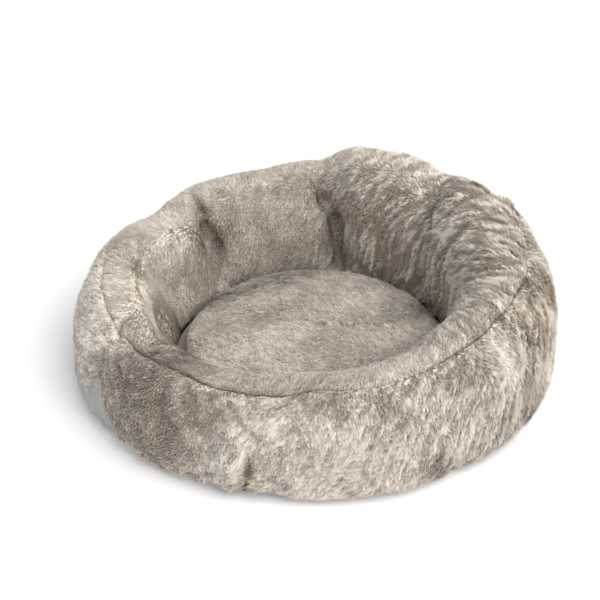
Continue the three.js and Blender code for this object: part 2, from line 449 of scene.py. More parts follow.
def distance_to_crease(turn, around, start, end):
    """Distance over the cover from each point to a crease, in metres."""
    x = turned_away(turn, start[0]) * TURN_DEGREE
    y = (around - start[1]) * AROUND_DEGREE
    run_x = turned_away(end[0], start[0]) * TURN_DEGREE
    run_y = (end[1] - start[1]) * AROUND_DEGREE
    run = max(run_x ** 2 + run_y ** 2, 1e-12)
    share = np.clip((x * run_x + y * run_y) / run, 0.0, 1.0)
    return np.hypot(x - share * run_x, y - share * run_y)


def crease_depth(turn, around):
    """How far the creases, ripples and the crest seam press the cover in, and how creased it is,
    which later shortens the pile and darkens it with painted shade.
    """
    depth = np.zeros_like(turn)
    creased = np.zeros_like(turn)
    for start, end, width, deep in CREASES:
        near = np.exp(-(distance_to_crease(turn, around, start, end) / width) ** 2)
        depth += near * deep
        creased = np.maximum(creased, near * max(deep, 0.0) / FULLY_CREASED)
    for index, ripple in enumerate(RIPPLE_TURNS):
        start = (ripple, RIPPLE_FROM - RIPPLE_STAGGER * (index % 3))
        end = (ripple + RIPPLE_SLANT * (1 + index % 2), RIPPLE_TO + RIPPLE_STAGGER * (index % 2))
        away = distance_to_crease(turn, around, start, end)
        near = np.exp(-(away / RIPPLE_WIDTH) ** 2)
        depth += near * RIPPLE_DEPTH
        creased = np.maximum(creased, near * RIPPLE_CREASED)
    seam = np.exp(-((around - crest_at(turn)) * AROUND_DEGREE / SEAM_WIDTH) ** 2)
    for middle, width in SEAM_HIDDEN:
        seam *= 1.0 - SEAM_HIDING * about(turn, middle, width, 4)
    depth += seam * SEAM_DEPTH
    creased = np.maximum(creased, SEAM_CREASED * seam)
    return depth, np.clip(creased, 0.0, 1.0)


# Meshes.


def new_object(name, mesh):
    obj = bpy.data.objects.new(name, mesh)
    bpy.context.scene.collection.objects.link(obj)
    return obj


def object_from_bmesh(name, bm, smooth=True):
    mesh = bpy.data.meshes.new(name)
    bm.to_mesh(mesh)
    bm.free()
    if smooth:
        mesh.shade_smooth()
    return new_object(name, mesh)


def get_points(mesh):
    points = np.empty(len(mesh.vertices) * 3)
    mesh.vertices.foreach_get("co", points)
    return points.reshape(-1, 3)


def set_points(mesh, points):
    mesh.vertices.foreach_set("co", points.reshape(-1))
    mesh.update()


def get_normals(mesh):
    normals = np.empty(len(mesh.vertices) * 3)
    mesh.vertices.foreach_get("normal", normals)
    return normals.reshape(-1, 3)


def store(mesh, name, values):
    """Keeps a number or a vector for each vertex under a name."""
    kind, key = ("FLOAT_VECTOR", "vector") if values.ndim == 2 else ("FLOAT", "value")
    attribute = mesh.attributes.get(name) or mesh.attributes.new(name, kind, "POINT")
    attribute.data.foreach_set(key, values.astype(np.float32).reshape(-1))


def recall(mesh, name):
    attribute = mesh.attributes[name]
    wide = attribute.data_type == "FLOAT_VECTOR"
    values = np.empty(len(mesh.vertices) * (3 if wide else 1), dtype=np.float32)
    attribute.data.foreach_get("vector" if wide else "value", values)
    return values.reshape(-1, 3) if wide else values


# The even ring that the cover starts as, before its points are placed.
START_SECTION = 60 * MM
START_MIDDLE = 240 * MM


def place_in_order(element, count):
    """A number to sort an edge or a face by, from its lowest vertices out of so many."""
    place = 0.0
    for index in sorted(vert.index for vert in element.verts)[:3]:
        place = place * count + index
    return place


def ring_grid(steps):
    """An even ring of squares: a circle of rows spun round the upright axis, each vertex knowing its row."""
    bm = bmesh.new()
    row_layer = bm.verts.layers.float.new("row")
    bmesh.ops.create_circle(bm, segments=SECTION_ROWS, radius=START_SECTION)
    for vert in bm.verts:
        place = math.atan2(vert.co.y, vert.co.x) % math.tau
        vert[row_layer] = round(place / math.tau * SECTION_ROWS) % SECTION_ROWS
    section = bm.verts[:] + bm.edges[:]
    bmesh.ops.rotate(bm, cent=(0, 0, 0), matrix=Matrix.Rotation(math.pi / 2, 3, "X"), verts=bm.verts)
    bmesh.ops.translate(bm, vec=(START_MIDDLE, 0, 0), verts=bm.verts)
    bmesh.ops.spin(
        bm, geom=section, cent=(0, 0, 0), axis=(0, 0, 1), angle=math.tau, steps=steps, use_merge=True
    )
    bmesh.ops.recalc_face_normals(bm, faces=bm.faces)
    # The spin leaves its edges and faces in an order of chance, and roots are drawn face by face.
    bm.verts.index_update()
    count = len(bm.verts)
    for elements in (bm.edges, bm.faces):
        elements.sort(key=lambda element: place_in_order(element, count))
        elements.index_update()
    cover = object_from_bmesh("ring_cover", bm)
    edges = cover.data.edges
    ends = np.empty(2 * len(edges), dtype=np.int32)
    edges.foreach_get("vertices", ends)
    edges.foreach_set("vertices", np.sort(ends.reshape(-1, 2), axis=1).reshape(-1))
    return cover


def hold_group(obj, name, weights):
    """A vertex group from an array of weights."""
    group = obj.vertex_groups.new(name=name)
    for index in np.nonzero(weights > 0.01)[0]:
        group.add([int(index)], float(weights[index]), "REPLACE")
    return group


def inflate(obj, cut, held, pressure, frames, cap):
    """Blows a closed cover up like cloth. cut is the cover's shape as it was cut, which sets how much
    cloth there is; held says how firmly each vertex stays; no vertex moves further than cap."""
    mesh = obj.data
    start = get_points(mesh)
    obj.shape_key_add(name="sewn")
    key = obj.shape_key_add(name="cut")
    key.data.foreach_set("co", cut.reshape(-1))
    hold_group(obj, "held", held)
    modifier = obj.modifiers.new("Cloth", "CLOTH")
    settings = modifier.settings
    settings.quality = 6
    settings.mass = 0.25
    settings.tension_stiffness = 14
    settings.compression_stiffness = 14
    settings.shear_stiffness = 5
    settings.bending_stiffness = 0.35
    settings.tension_damping = 12
    settings.compression_damping = 12
    settings.air_damping = 2
    settings.use_pressure = True
    settings.uniform_pressure_force = pressure
    settings.effector_weights.gravity = 0
    settings.vertex_group_mass = "held"
    settings.rest_shape_key = key
    modifier.collision_settings.use_collision = False
    scene = bpy.context.scene
    scene.frame_start = 1
    scene.frame_end = frames
    for number in range(1, frames + 1):
        scene.frame_set(number)
    depsgraph = bpy.context.evaluated_depsgraph_get()
    blown = get_points(obj.evaluated_get(depsgraph).to_mesh()).copy()
    obj.modifiers.remove(modifier)
    obj.shape_key_clear()
    obj.vertex_groups.clear()
    scene.frame_set(1)
    move = blown - start
    far = np.linalg.norm(move, axis=1, keepdims=True)
    move *= np.minimum(1.0, cap / np.maximum(far, 1e-9))
    set_points(mesh, start + move)


def keep_rows(source, name, first, last):
    """A copy of the cover between two rows of its grid."""
    bm = bmesh.new()
    bm.from_mesh(source.data)
    row_layer = bm.verts.layers.float["row"]
    spare = []
    for face in bm.faces:
        rows = [vert[row_layer] for vert in face.verts]
        middle = sum(rows) / len(rows)
        wraps = max(rows) - min(rows) > 2
        if wraps or not first < middle < last:
            spare.append(face)
    bmesh.ops.delete(bm, geom=spare, context="FACES")
    return object_from_bmesh(name, bm)


def settle(obj):
    """Replaces an object's mesh with what its modifiers make of it."""
    depsgraph = bpy.context.evaluated_depsgraph_get()
    mesh = bpy.data.meshes.new_from_object(obj.evaluated_get(depsgraph))
    mesh.name = obj.name
    obj.modifiers.clear()
    obj.data = mesh
    return obj


def subdivide(obj, levels=1):
    modifier = obj.modifiers.new("Subdivision", "SUBSURF")
    modifier.levels = levels
    modifier.render_levels = levels
    return settle(obj)


def thicken(obj, thickness):
    """Gives a cloth its thickness, inwards."""
    modifier = obj.modifiers.new("Thickness", "SOLIDIFY")
    modifier.thickness = thickness
    modifier.offset = -1
    return settle(obj)


# Nodes.


def node(tree, kind, inputs=None, **settings):
    """Adds a node, sets it, and links or sets its inputs by name or number."""
    made = tree.nodes.new(kind)
    for name, value in settings.items():
        setattr(made, name, value)
    for key, value in (inputs or {}).items():
        if isinstance(value, bpy.types.NodeSocket):
            tree.links.new(value, made.inputs[key])
        else:
            made.inputs[key].default_value = value
    return made


def new_material(name):
    """A material's node tree and its surface shader."""
    material = bpy.data.materials.new(name)
    material.use_nodes = True
    tree = material.node_tree
    return material, tree, tree.nodes["Principled BSDF"]


def scale_for(size):
    """The scale of a pattern whose features are of a real size."""
    return 1.0 / size


def rgba(colour):
    return (*colour, 1.0)


def mix_colour(tree, share, first, second):
    mix = node(tree, "ShaderNodeMix", {0: share}, data_type="RGBA")
    for key, value in ((6, first), (7, second)):
        if isinstance(value, bpy.types.NodeSocket):
            tree.links.new(value, mix.inputs[key])
        else:
            mix.inputs[key].default_value = rgba(value)
    return mix.outputs[2]


# Between which shares of its height the pile pales from its root's colour to its tip's.
PALES_BETWEEN = (0.05, 0.7)
# How much painted shade darkens the cloth in the gaps between threads and between fibres, and
# how much painted light brightens the threads' tops.
THREAD_GAP_PAINTED_SHADE = 0.72
THREAD_TOP_PAINTED_LIGHT = 1.16
FIBRE_GAP_PAINTED_SHADE = 0.82


def pile_material(name, root, dark, light, roughness, sheen):
    """Polyester pile, knitted in and brushed: dark and matt at the root, most in the dark patches,
    which are its own mottling and painted shade, pale and slightly silky at the tip. The pile's own
    map gives its tone across, painted shade and painted light included, and its height up each
    hair."""
    material, tree, shader = new_material(name)
    place = node(tree, "ShaderNodeUVMap", uv_map="OFBake")
    parts = node(tree, "ShaderNodeSeparateXYZ", {0: place.outputs[0]})
    tone, along = parts.outputs[0], parts.outputs[1]
    tip = mix_colour(tree, tone, dark, light)
    paling = node(tree, "ShaderNodeMath", {0: tone, 1: 2.0}, operation="POWER")
    ground = mix_colour(tree, paling.outputs[0], root, tip)
    low, high = PALES_BETWEEN
    rise = node(
        tree, "ShaderNodeMapRange", {0: along, 1: low, 2: high}, interpolation_type="SMOOTHSTEP"
    )
    tree.links.new(mix_colour(tree, rise.outputs[0], ground, tip), shader.inputs["Base Color"])
    shader.inputs["Roughness"].default_value = roughness
    shader.inputs["Sheen Weight"].default_value = sheen
    shader.inputs["Sheen Roughness"].default_value = 0.5
    shader.inputs["Sheen Tint"].default_value = rgba(light)
    shader.inputs["Specular IOR Level"].default_value = 0.25
    return material


def backing_material(name, root, light):
    """The knitted ground of the plush, seen between the tufts: short broken fibres, very matt. It
    is as dark as the roots of the pile that it holds. Its colour follows the pile's tone, which
    holds painted shade and painted light, and it is darker with painted shade where its fibres lie
    low."""
    material, tree, shader = new_material(name)
    place = node(tree, "ShaderNodeTexCoord").outputs["Object"]
    fibres = node(
        tree, "ShaderNodeTexNoise", {"Vector": place, "Scale": scale_for(2.4 * MM), "Detail": 4.0}
    )
    tone = node(tree, "ShaderNodeAttribute", attribute_name="tone")
    share = node(
        tree, "ShaderNodeMath", {0: fibres.outputs[0], 1: tone.outputs["Fac"]}, operation="ADD"
    )
    # Darker with painted shade where the fibres lie low and where the tone holds painted shade.
    spread = node(tree, "ShaderNodeMapRange", {0: share.outputs[0], 1: 0.45, 2: 1.4})
    tree.links.new(
        mix_colour(tree, spread.outputs[0], root, light), shader.inputs["Base Color"]
    )
    bump = node(
        tree, "ShaderNodeBump", {"Height": fibres.outputs[0], "Strength": 0.6, "Distance": 1.5 * MM}
    )
    tree.links.new(bump.outputs[0], shader.inputs["Normal"])
    shader.inputs["Roughness"].default_value = 0.95
    shader.inputs["Specular IOR Level"].default_value = 0.15
    return material


def woven_material(name, colour, thread, roughness):
    """Plain-woven cloth: threads over and under each other, drawn as fine as the render can show,
    with painted shade in the gaps and painted light on the threads' tops.
    """
    material, tree, shader = new_material(name)
    place = node(tree, "ShaderNodeTexCoord").outputs["Object"]
    scale = math.tau / (2.0 * thread)
    axes = node(tree, "ShaderNodeSeparateXYZ", {0: place})
    waves = []
    for axis in (0, 1, 2):
        turned = node(tree, "ShaderNodeMath", {0: axes.outputs[axis], 1: scale}, operation="MULTIPLY")
        waves.append(node(tree, "ShaderNodeMath", {0: turned.outputs[0]}, operation="SINE"))
    plan = node(
        tree, "ShaderNodeMath", {0: waves[0].outputs[0], 1: waves[1].outputs[0]}, operation="MULTIPLY"
    )
    weave = node(
        tree, "ShaderNodeMath", {0: plan.outputs[0], 1: waves[2].outputs[0]}, operation="ADD"
    )
    slubs = node(
        tree, "ShaderNodeTexNoise", {"Vector": place, "Scale": scale_for(4.2 * MM), "Detail": 3.0}
    )
    height = node(
        tree, "ShaderNodeMath", {0: weave.outputs[0], 1: 0.25, 2: slubs.outputs[0]},
        operation="MULTIPLY_ADD",
    )
    share = node(tree, "ShaderNodeMapRange", {0: height.outputs[0], 1: 0.1, 2: 0.9})
    # Painted shade in the gaps between threads, painted light on their tops.
    dark = tuple(THREAD_GAP_PAINTED_SHADE * part for part in colour)
    light = tuple(min(1.0, THREAD_TOP_PAINTED_LIGHT * part) for part in colour)
    tree.links.new(mix_colour(tree, share.outputs[0], dark, light), shader.inputs["Base Color"])
    bump = node(
        tree, "ShaderNodeBump", {"Height": height.outputs[0], "Strength": 0.5, "Distance": 0.4 * MM}
    )
    tree.links.new(bump.outputs[0], shader.inputs["Normal"])
    shader.inputs["Roughness"].default_value = roughness
    shader.inputs["Sheen Weight"].default_value = 0.15
    return material


def fibre_material(name, colour, grain):
    """Loose fibre or open foam: soft, very pale, its surface broken by cells or strands as far
    apart as its grain."""
    material, tree, shader = new_material(name)
    place = node(tree, "ShaderNodeTexCoord").outputs["Object"]
    strands = node(
        tree, "ShaderNodeTexNoise", {"Vector": place, "Scale": scale_for(grain), "Detail": 5.0}
    )
    # Painted shade between the cells or strands, where the bump lies low.
    dark = tuple(FIBRE_GAP_PAINTED_SHADE * part for part in colour)
    tree.links.new(
        mix_colour(tree, strands.outputs[0], dark, colour), shader.inputs["Base Color"]
    )
    bump = node(
        tree, "ShaderNodeBump", {"Height": strands.outputs[0], "Strength": 0.5, "Distance": 2 * MM}
    )
    tree.links.new(bump.outputs[0], shader.inputs["Normal"])
    shader.inputs["Roughness"].default_value = 0.9
    return material


def wear(obj, material):
    obj.data.materials.clear()
    obj.data.materials.append(material)


# Pile.

BLADES = 12
TUFT_KINDS = 5
TUFT_SIZES = (0.8, 1.2)
# How many roots are tried in each gap's square, before those too close to others are dropped.
ROOTS_TRIED = 1.6
# How much the blades of a tuft turn in towards its middle, and how much they differ.
BLADE_GATHER = 0.2
BLADE_FACINGS = (-0.3, 0.3)
BLADE_LENGTHS = (0.78, 1.15)
BLADE_LEANS = (-0.35, 0.25)
BLADE_WIDTHS = (0.7, 1.3)
# How far below the backing's face a blade is rooted.
ROOT_DEPTH = 0.6 * MM
# How big the clumps and the flecks of the pile are.
CLUMP_SIZE = 7.7 * MM
FLECK_SIZE = 8.3 * MM
# How far clumps tilt and turn, how far single tufts do, and how unruly the pile is where it is
# even and how much more so where it is shaggy.
CLUMP_TILT = 1.2
CLUMP_TURN = 4.0
SINGLE_TURN = 0.35
EVEN_UNRULY = 0.35
SHAGGY_UNRULY = 1.1
# The pile's map holds the tones side by side, inside its edge, with each blade this wide on it.
MAP_EDGE = 0.005
MAP_TONES = 0.96
MAP_BLADE = 0.02
# How far a blade is shaded as the cloth it grows from, rather than as the flat lock it is.
SOFTNESS = 0.75
# The pile is combed this many degrees aside of straight down, and clumps are this much longer
# that way than they are wide.
COMB_ASIDE = 32.0
DRAWN_OUT = 2.6
# Behind and on the left, the pile of the well's side is brushed back over the crest: over which
# stretch, and how far its comb is turned there.
BRUSHED_OVER = (135.0, 85.0)
BRUSHED_OVER_BY = 150.0


def add_blade(bm, root, facing, lean, length, width):
    """One flat lock of hairs, which tapers from its root to a point along its lean."""
    along = bm.verts.layers.float["along"]
    side = bm.verts.layers.float["side"]
    across = Vector((-math.sin(facing), math.cos(facing), 0.0)) * width / 2
    reach = Vector((math.cos(facing) * math.sin(lean), math.sin(facing) * math.sin(lean), math.cos(lean)))
    corners = [bm.verts.new(place) for place in (root - across, root + across, root + reach * length)]
    corners[1][side] = 1.0
    corners[2][side] = 0.5
    corners[2][along] = 1.0
    bmesh.ops.contextual_create(bm, geom=corners)


def make_tuft(name, rng, length, width, lean, spread):
    """A tuft whose locks start a little apart and lean the same way, along +X."""
    bm = bmesh.new()
    bm.verts.layers.float.new("along")
    bm.verts.layers.float.new("side")
    for _blade in range(BLADES):
        root = Vector((rng.uniform(-spread, spread), rng.uniform(-spread, spread), -ROOT_DEPTH))
        facing = -root.y / spread * BLADE_GATHER + rng.uniform(*BLADE_FACINGS)
        reach = length * rng.uniform(*BLADE_LENGTHS)
        leaning = lean + rng.uniform(*BLADE_LEANS)
        add_blade(bm, root, facing, leaning, reach, width * rng.uniform(*BLADE_WIDTHS))
    for face in bm.faces:
        face.normal_update()
        if face.normal.z < 0:
            face.normal_flip()
    return object_from_bmesh(name, bm)


def tuft_collection(name, length, width, lean, spread):
    rng = np.random.default_rng(SEED)
    collection = bpy.data.collections.new(name)
    for kind in range(TUFT_KINDS):
        tuft = make_tuft(f"{name}_{kind}", rng, length, width, lean, spread)
        bpy.context.scene.collection.objects.unlink(tuft)
        collection.objects.link(tuft)
    return collection


def pile_group(name, tufts, gap, swirl, grain, flecks, streaks, material):
    """Geometry nodes that plant tufts on a backing: turned to its comb, gathered into clumps by a
    fine swirl, and carrying the map that colours them. grain is how much single tufts differ in
    tone, flecks how much clumps do, and streaks how much more shaggy clumps do."""
    group = bpy.data.node_groups.new(name, "GeometryNodeTree")
    group.interface.new_socket("Geometry", in_out="INPUT", socket_type="NodeSocketGeometry")
    group.interface.new_socket("Geometry", in_out="OUTPUT", socket_type="NodeSocketGeometry")
    source = node(group, "NodeGroupInput")

    def named(attribute, kind="FLOAT"):
        found = node(group, "GeometryNodeInputNamedAttribute", data_type=kind)
        found.inputs["Name"].default_value = attribute
        return found.outputs["Attribute"]

    def noise(size, detail):
        inputs = {"Vector": named("lay", "FLOAT_VECTOR"), "Scale": scale_for(size), "Detail": detail}
        return node(group, "ShaderNodeTexNoise", inputs)

    def chance(low, high, seed):
        made = node(group, "FunctionNodeRandomValue", data_type="FLOAT")
        made.inputs[2].default_value = low
        made.inputs[3].default_value = high
        made.inputs["Seed"].default_value = seed
        return made.outputs[1]

    def maths(operation, first, second, third=None):
        inputs = {0: first, 1: second}
        if third is not None:
            inputs[2] = third
        return node(group, "ShaderNodeMath", inputs, operation=operation).outputs[0]

    scatter = node(
        group, "GeometryNodeDistributePointsOnFaces", {"Mesh": source.outputs[0]},
        distribute_method="POISSON",
    )
    scatter.inputs["Distance Min"].default_value = gap
    scatter.inputs["Density Max"].default_value = ROOTS_TRIED / gap ** 2
    scatter.inputs["Seed"].default_value = SEED
    group.links.new(named("cover"), scatter.inputs["Density Factor"])

    facing = node(
        group, "FunctionNodeAxesToRotation",
        {0: scatter.outputs["Normal"], 1: named("comb", "FLOAT_VECTOR")},
        primary_axis="Z", secondary_axis="X",
    )
    clump = node(
        group, "ShaderNodeVectorMath", {0: noise(CLUMP_SIZE, 2.0).outputs["Color"], 1: (0.5, 0.5, 0.5)},
        operation="SUBTRACT",
    )
    unruly = node(
        group, "ShaderNodeVectorMath",
        {0: clump.outputs[0], 1: (CLUMP_TILT, CLUMP_TILT, CLUMP_TURN * swirl)},
        operation="MULTIPLY",
    )
    shaggy = maths("MULTIPLY_ADD", named("shaggy"), SHAGGY_UNRULY, EVEN_UNRULY)
    unruly = node(
        group, "ShaderNodeVectorMath", {0: unruly.outputs[0], "Scale": shaggy}, operation="SCALE"
    )
    stray = swirl * SINGLE_TURN
    single = node(group, "ShaderNodeCombineXYZ", {2: chance(-stray, stray, 1)})
    wander = node(
        group, "ShaderNodeVectorMath", {0: unruly.outputs[0], 1: single.outputs[0]}, operation="ADD"
    )
    wander = node(group, "FunctionNodeEulerToRotation", {0: wander.outputs[0]})
    turned = node(
        group, "FunctionNodeRotateRotation", {0: facing.outputs[0], 1: wander.outputs[0]},
        rotation_space="LOCAL",
    )
    tall = maths("MULTIPLY", named("pile"), chance(*TUFT_SIZES, 2))
    grounded = node(
        group, "GeometryNodeStoreNamedAttribute",
        {"Geometry": scatter.outputs[0], "Name": "ground", "Value": scatter.outputs["Normal"]},
        data_type="FLOAT_VECTOR", domain="POINT",
    )
    choose = node(
        group, "GeometryNodeCollectionInfo", {"Separate Children": True, "Reset Children": True}
    )
    choose.inputs["Collection"].default_value = tufts
    which = node(group, "FunctionNodeRandomValue", data_type="INT")
    which.inputs[4].default_value = 0
    which.inputs[5].default_value = TUFT_KINDS - 1
    which.inputs["Seed"].default_value = 3
    planted = node(
        group, "GeometryNodeInstanceOnPoints",
        {"Points": grounded.outputs[0], "Instance": choose.outputs[0], "Pick Instance": True,
         "Instance Index": which.outputs[2], "Rotation": turned.outputs[0], "Scale": tall},
    )
    # The stored tone carries painted shade in creases and painted shade and light in patches, beside the
    # random flecks and grain.
    fleck = maths("SUBTRACT", noise(FLECK_SIZE, 3.0).outputs[0], 0.5)
    fleck = maths("MULTIPLY", fleck, maths("MULTIPLY_ADD", named("shaggy"), streaks, flecks))
    tone = maths("ADD", named("tone"), fleck)
    tone = maths("ADD", tone, chance(-grain, grain, 4))
    tone = node(group, "ShaderNodeClamp", {0: tone}).outputs[0]
    toned = node(
        group, "GeometryNodeStoreNamedAttribute",
        {"Geometry": planted.outputs[0], "Name": "own_tone", "Value": tone},
        data_type="FLOAT", domain="INSTANCE",
    )
    real = node(group, "GeometryNodeRealizeInstances", {0: toned.outputs[0]})
    column = maths("MULTIPLY_ADD", named("own_tone"), MAP_TONES, MAP_EDGE)
    column = maths("MULTIPLY_ADD", named("side"), MAP_BLADE, column)
    place = node(group, "ShaderNodeCombineXYZ", {0: column, 1: named("along")})
    mapped = node(
        group, "GeometryNodeStoreNamedAttribute",
        {"Geometry": real.outputs[0], "Name": "OFBake", "Value": place.outputs[0]},
        data_type="FLOAT2", domain="CORNER",
    )
    dressed = node(group, "GeometryNodeSetMaterial", {0: mapped.outputs[0]})
    dressed.inputs["Material"].default_value = material
    smooth = node(group, "GeometryNodeSetShadeSmooth", {0: dressed.outputs[0]})
    node(group, "NodeGroupOutput", {0: smooth.outputs[0]})
    return group


# What skins store only while their pile is grown.
WORKING_VALUES = (
    "comb", "cover", "pile", "tone", "own_tone", "side", "along", "row", "turn", "ground", "shaggy",
    "around", "creased", "lay",
)


def plant(backing, name, group, sector=None):
    """Grows pile on a copy of the backing, or on the stretch of it between two turns."""
    grown = new_object(name, backing.data.copy())
    if sector:
        turn = recall(grown.data, "turn")
        low, high = sector
        inside = (turn - low) % 360.0 < (high - low)
        bm = bmesh.new()
        bm.from_mesh(grown.data)
        bm.verts.ensure_lookup_table()
        spare = [face for face in bm.faces if not inside[face.verts[0].index]]
        bmesh.ops.delete(bm, geom=spare, context="FACES")
        bm.to_mesh(grown.data)
        bm.free()
    modifier = grown.modifiers.new("Pile", "NODES")
    modifier.node_group = group
    settle(grown)
    shade = SOFTNESS * recall(grown.data, "ground") + (1.0 - SOFTNESS) * get_normals(grown.data)
    grown.data.normals_split_custom_set_from_vertices(shade)
    for attribute in [a.name for a in grown.data.attributes]:
        if attribute in WORKING_VALUES:
            grown.data.attributes.remove(grown.data.attributes[attribute])
    return grown


SWIRL_WAVES = 9


def swirling(points, spacing, seed):
    """A smooth wandering number for each point, about -1 to 1, from a few turned waves."""
    rng = np.random.default_rng(seed)
    total = np.zeros(len(points))
    for _wave in range(SWIRL_WAVES):
        direction = rng.normal(size=3)
        direction *= math.tau / spacing / np.linalg.norm(direction) * rng.uniform(0.6, 1.5)
        total += np.sin(points @ direction + rng.uniform(0, math.tau))
    return total / math.sqrt(SWIRL_WAVES)


def turns_of(points):
    return np.degrees(np.arctan2(points[:, 1], points[:, 0])) % 360.0


# How far apart the comb wanders.
COMB_STEP = 110 * MM


def comb_along(mesh, sweep, wander, aside):
    """Stores which way a skin's pile is combed: the way it is swept, turned aside and wandering."""
    points = get_points(mesh)
    normals = get_normals(mesh)
    along = sweep - (sweep * normals).sum(axis=1, keepdims=True) * normals
    along /= np.maximum(np.linalg.norm(along, axis=1, keepdims=True), 1e-6)
    across = np.cross(normals, along)
    angle = np.radians(wander * swirling(points, COMB_STEP, 5) - aside)[:, None]
    store(mesh, "comb", along * np.cos(angle) + across * np.sin(angle))


def comb_ring(obj, away_from_crest, wander):
    """Combs a skin of the ring away from its crest: -1 outside, 1 on the well's side. Its clumps
    and flecks are drawn out the same way, by the place that their noise is read at."""
    mesh = obj.data
    points = get_points(mesh)
    turn = turns_of(points)
    tangent = np.stack([-np.sin(np.radians(turn)), np.cos(np.radians(turn)), 0 * turn], axis=1)
    around = recall(mesh, "around").astype(float)
    over_crest = about(turn, *BRUSHED_OVER, 6) * ease(around, 130.0, 85.0)
    aside = COMB_ASIDE + BRUSHED_OVER_BY * over_crest * (away_from_crest > 0)
    comb_along(mesh, away_from_crest * np.cross(get_normals(mesh), tangent), wander, aside)
    aside = math.tan(math.radians(COMB_ASIDE)) * AROUND_DEGREE / TURN_DEGREE
    lay_turn = np.radians(turn - aside * around)
    middle = TURN_DEGREE / math.radians(1.0)
    rise = around * AROUND_DEGREE / DRAWN_OUT
    store(mesh, "lay", np.stack([middle * np.cos(lay_turn), middle * np.sin(lay_turn), rise], axis=1))
    store(mesh, "turn", turn)


# Operators.


def sizes():
    return bpy.context.scene.bolster_bed_sizes


def colours():
    return bpy.context.scene.bolster_bed_colours


CAMERA_TARGET = Vector((-0.0203, 0.0446, 0.07))
CAMERA_RISE = math.radians(32.9)
CAMERA_DISTANCE = 2.7
CAMERA_LENS = 121.8
FLOOR_REACH = 6.0
FLOOR_GLOW = 0.12
ROOM_LIGHT = 0.52
OVERHEAD_LIGHT = 2.9
OVERHEAD_SPREAD = math.radians(60)
OVERHEAD_FROM = Vector((1.0, -0.9, 1.6))


def aim(obj, place, target):
    obj.location = place
    obj.rotation_euler = (target - place).to_track_quat("-Z", "Y").to_euler()


class BOLSTERBED_OT_stage(bpy.types.Operator):
    """Sets the camera, the pale floor and the soft studio light"""

    bl_idname = "bolster_bed.stage"
    bl_label = "Stage"

    def execute(self, context):
        scene = context.scene
        camera = bpy.data.objects.new("camera", bpy.data.cameras.new("camera"))
        scene.collection.objects.link(camera)
        camera.data.lens = CAMERA_LENS
        camera.data.clip_end = 50.0
        back = Vector((0.0, -math.cos(CAMERA_RISE), math.sin(CAMERA_RISE)))
        aim(camera, CAMERA_TARGET + back * CAMERA_DISTANCE, CAMERA_TARGET)
        scene.camera = camera

        bm = bmesh.new()
        bmesh.ops.create_grid(bm, x_segments=2, y_segments=2, size=FLOOR_REACH)
        floor = object_from_bmesh("floor", bm, smooth=False)
        material, _tree, shader = new_material("matt white paper")
        shader.inputs["Base Color"].default_value = (0.93, 0.93, 0.94, 1.0)
        shader.inputs["Roughness"].default_value = 0.9
        shader.inputs["Emission Color"].default_value = (1.0, 1.0, 1.0, 1.0)
        shader.inputs["Emission Strength"].default_value = FLOOR_GLOW
        wear(floor, material)

        world = bpy.data.worlds.new("studio")
        world.use_nodes = True
        world.node_tree.nodes["Background"].inputs[0].default_value = (0.96, 0.98, 1.0, 1.0)
        world.node_tree.nodes["Background"].inputs[1].default_value = ROOM_LIGHT
        scene.world = world
        light = bpy.data.lights.new("overhead", "SUN")
        light.energy = OVERHEAD_LIGHT
        light.angle = OVERHEAD_SPREAD
        light.color = (1.0, 0.985, 0.96)
        overhead = bpy.data.objects.new("overhead", light)
        scene.collection.objects.link(overhead)
        aim(overhead, OVERHEAD_FROM, Vector((0.0, 0.0, 0.0)))
        scene.view_settings.view_transform = "Standard"
        return {"FINISHED"}


# How the ring's cover is stuffed: how much bigger than the ring it is cut, how hard and over how
# many steps it is blown up, and how far it may swell, in all and more on the well's side behind.
CUT_PROUD = 4 * MM
CUT_SLACK = 1.045
RING_PRESSURE = 3.0
RING_STEPS = 18
SWELL = 4.5 * MM
SWELL_BEHIND = 8 * MM
BEHIND = (68.0, 78.0)
# A pinch that is at least this deep holds the cover fully.
FIRM_PINCH = 12 * MM
SEAM_HOLD = 0.25
# From where around the section pinches hold the cover, the stretch under the ring that does, and
# how far a pinch's hold and the seam's reach, in degrees.
WELL_SIDE = 75.0
UNDER_FROM = 215.0
UNDER_TO = -60.0
HOLD_REACH = 0.8
HOLD_REACH_ACROSS = 1.0
FLOOR_CLEARANCE = 2.6 * MM


